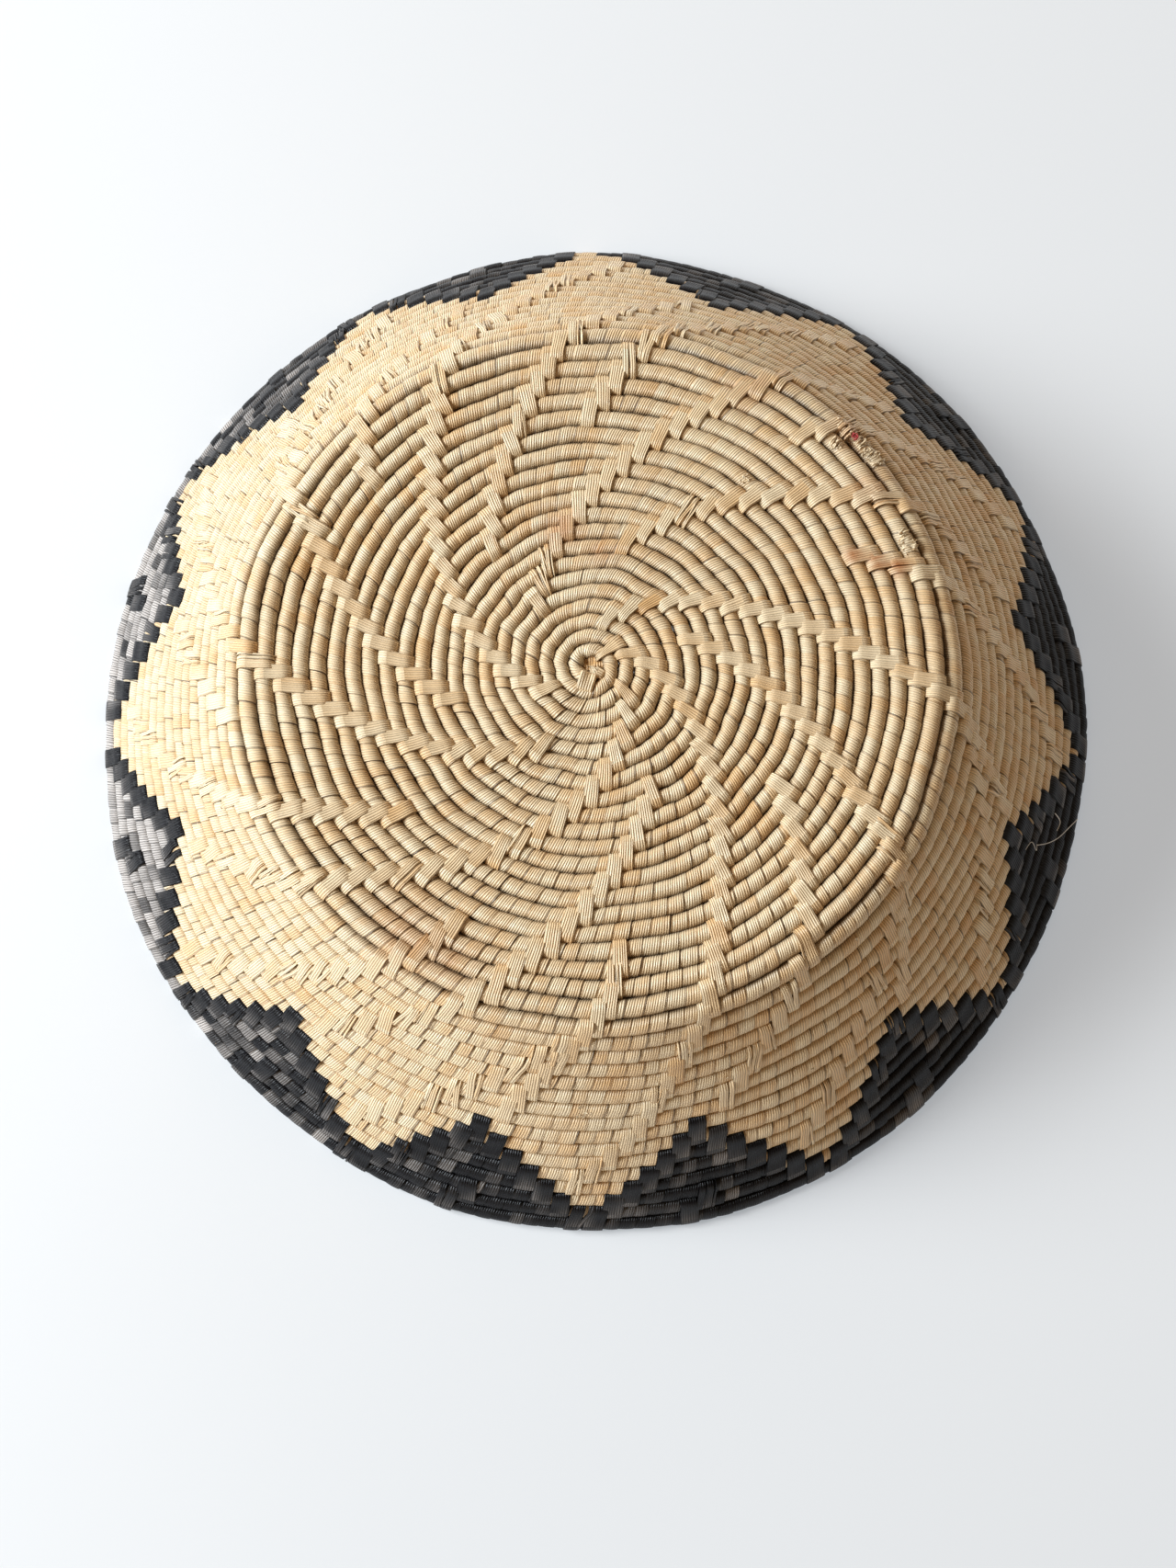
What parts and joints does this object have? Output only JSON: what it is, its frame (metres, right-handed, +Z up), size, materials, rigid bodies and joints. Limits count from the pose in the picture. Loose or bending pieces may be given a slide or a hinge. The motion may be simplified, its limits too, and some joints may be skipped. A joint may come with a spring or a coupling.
{
  "type": "coiled basketry hat",
  "caption": "Flat-crowned conical shell of coiled palm-leaf basketry with dark stepped triangles around the rim, resting rim down",
  "frame": {"origin": "centre of the plane that the rim rests on", "axes": "+Z up from the rim to the flat crown, +X and +Y level with the rim, with the coil's end on +Y"},
  "size_m": [0.465, 0.4659, 0.1059],
  "materials": {
    "natural_leaf": "satin",
    "dyed_leaf": "satin",
    "fibre_bundle": "matte"
  },
  "bodies": {
    "root": {"coil_end": "dyed_leaf", "crown_foundation": "fibre_bundle", "crown_stitches_inner": "natural_leaf", "crown_stitches_outer": "natural_leaf", "crown_turn_01": "natural_leaf", "crown_turn_02": "natural_leaf", "crown_turn_03": "natural_leaf", "crown_turn_04": "natural_leaf", "crown_turn_05": "natural_leaf", "crown_turn_06": "natural_leaf", "crown_turn_07": "natural_leaf", "crown_turn_08": "natural_leaf", "crown_turn_09": "natural_leaf", "crown_turn_10": "natural_leaf", "crown_turn_11": "natural_leaf", "crown_turn_12": "natural_leaf", "crown_turn_13": "natural_leaf", "crown_turn_14": "natural_leaf", "crown_turn_15": "natural_leaf", "crown_turn_16": "natural_leaf", "crown_turn_17": "natural_leaf", "crown_turn_18": "natural_leaf", "crown_turn_19": "natural_leaf", "motif_01": "dyed_leaf", "motif_02": "dyed_leaf", "motif_03": "dyed_leaf", "motif_04": "dyed_leaf", "motif_05": "dyed_leaf", "motif_06": "dyed_leaf", "motif_07": "dyed_leaf", "motif_08": "dyed_leaf", "motif_09": "dyed_leaf", "motif_10": "dyed_leaf", "motif_11": "dyed_leaf", "motif_12": "dyed_leaf", "rim_turn": "dyed_leaf", "start_knot": "natural_leaf", "wall_foundation": "fibre_bundle", "wall_stitches_lower": "natural_leaf", "wall_stitches_upper": "natural_leaf", "wall_turn_20": "natural_leaf", "wall_turn_21": "natural_leaf", "wall_turn_22": "natural_leaf", "wall_turn_23": "natural_leaf", "wall_turn_24": "natural_leaf", "wall_turn_25": "natural_leaf", "wall_turn_26": "natural_leaf", "wall_turn_27": "natural_leaf", "wall_turn_28": "natural_leaf", "wall_turn_29": "natural_leaf", "wall_turn_30": "natural_leaf", "wall_turn_31": "natural_leaf", "wall_turn_32": "natural_leaf", "wall_turn_33": "natural_leaf", "wall_turn_34": "natural_leaf", "wall_turn_35": "natural_leaf"}
  },
  "joints": []
}
